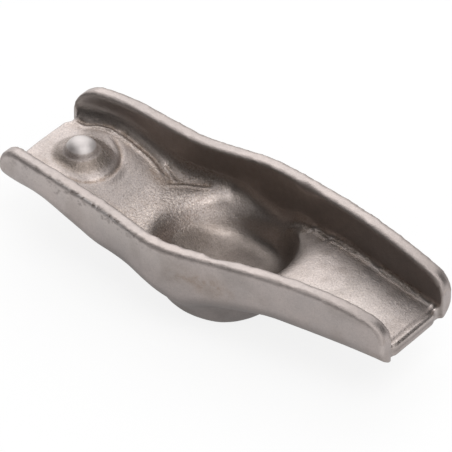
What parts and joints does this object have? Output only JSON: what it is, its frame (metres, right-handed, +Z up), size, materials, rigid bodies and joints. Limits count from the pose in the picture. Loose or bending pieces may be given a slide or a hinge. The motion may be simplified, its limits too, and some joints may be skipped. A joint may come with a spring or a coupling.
{
  "type": "rocker arm",
  "caption": "Stamped steel rocker arm: a channel with a closed round cam pad drawn into its floor, a pivot dome at one end and a valve pad at the other.",
  "frame": {"origin": "middle of the arm's length and width, on the surface it rests on", "axes": "+X along the arm from the pivot end to the valve end, +Z up with the channel open upward; the arm lies level on the land of its cam pad"},
  "size_m": [0.0672, 0.026, 0.0153],
  "materials": {
    "bare_steel": "bare pressed steel, satin, warm grey and slightly grained, with darker creases"
  },
  "bodies": {
    "root": {"rocker_arm": "bare_steel"}
  },
  "joints": []
}
